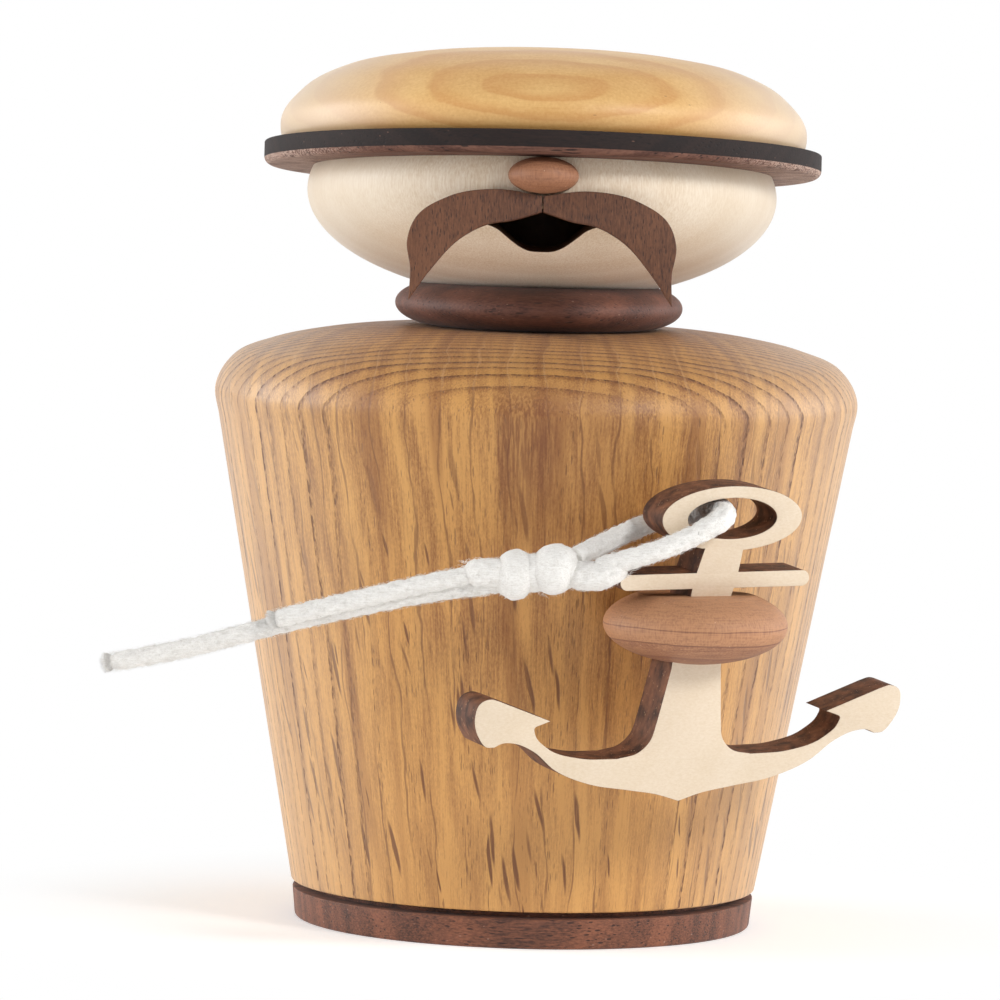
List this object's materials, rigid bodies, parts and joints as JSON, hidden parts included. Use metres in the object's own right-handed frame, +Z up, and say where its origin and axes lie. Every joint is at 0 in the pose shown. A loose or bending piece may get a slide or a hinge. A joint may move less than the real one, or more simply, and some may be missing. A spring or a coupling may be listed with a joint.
{
  "type": "incense smoker figure",
  "caption": "Turned wooden incense smoker: stout sailor with flat cap, big moustache and anchor; lifts off its foot, which holds the cone; smoke leaves by the mouth.",
  "frame": {"origin": "centre of the foot's flat underside, on the figure's turning axis", "axes": "+Z up along the turning axis, -Y the way the face looks, +X towards the hand with the anchor"},
  "size_m": [0.0992, 0.1009, 0.1138],
  "materials": {
    "dark_walnut_foot": "oiled, blotchy red-brown walnut",
    "pressed_brass": "satin brass, darkened by heat",
    "tack_brass": "satin brass",
    "oak_coat": "oiled oak with open dark pores",
    "walnut_collar": "satin dark red-brown",
    "beech_tube": "raw beech",
    "maple_head": "fine pale maple, oiled",
    "pear_nose": "satin pinkish tan",
    "walnut_moustache": "matt walnut",
    "smoked_oak_brim": "matt near-black brown",
    "alder_crown": "oiled golden alder",
    "beech_dowel": "raw beech",
    "pear_hand": "satin beech",
    "sawn_maple_anchor": "pale maple with burnt walls",
    "cotton_cord": "white braided cotton"
  },
  "bodies": {
    "foot": {"foot_disc": "dark_walnut_foot", "cone_dish": "pressed_brass", "dish_tack": "tack_brass"},
    "figure": {"coat": "oak_coat", "collar": "walnut_collar", "neck_tube": "beech_tube", "head": "maple_head", "nose": "pear_nose", "moustache_left": "walnut_moustache", "moustache_right": "walnut_moustache", "brim": "smoked_oak_brim", "crown": "alder_crown", "cap_dowel": "beech_dowel", "hand": "pear_hand", "hand_dowel": "beech_dowel", "anchor_top": "sawn_maple_anchor", "anchor_bottom": "sawn_maple_anchor", "cord_loop": "cotton_cord", "cord_knot": "cotton_cord", "cord_long_end": "cotton_cord", "cord_short_end": "cotton_cord"}
  },
  "joints": [
    {"name": "figure_lift", "type": "slide", "parent": "foot", "child": "figure", "axis": [0, 0, 1], "range_m": [0, 0.045]}
  ]
}
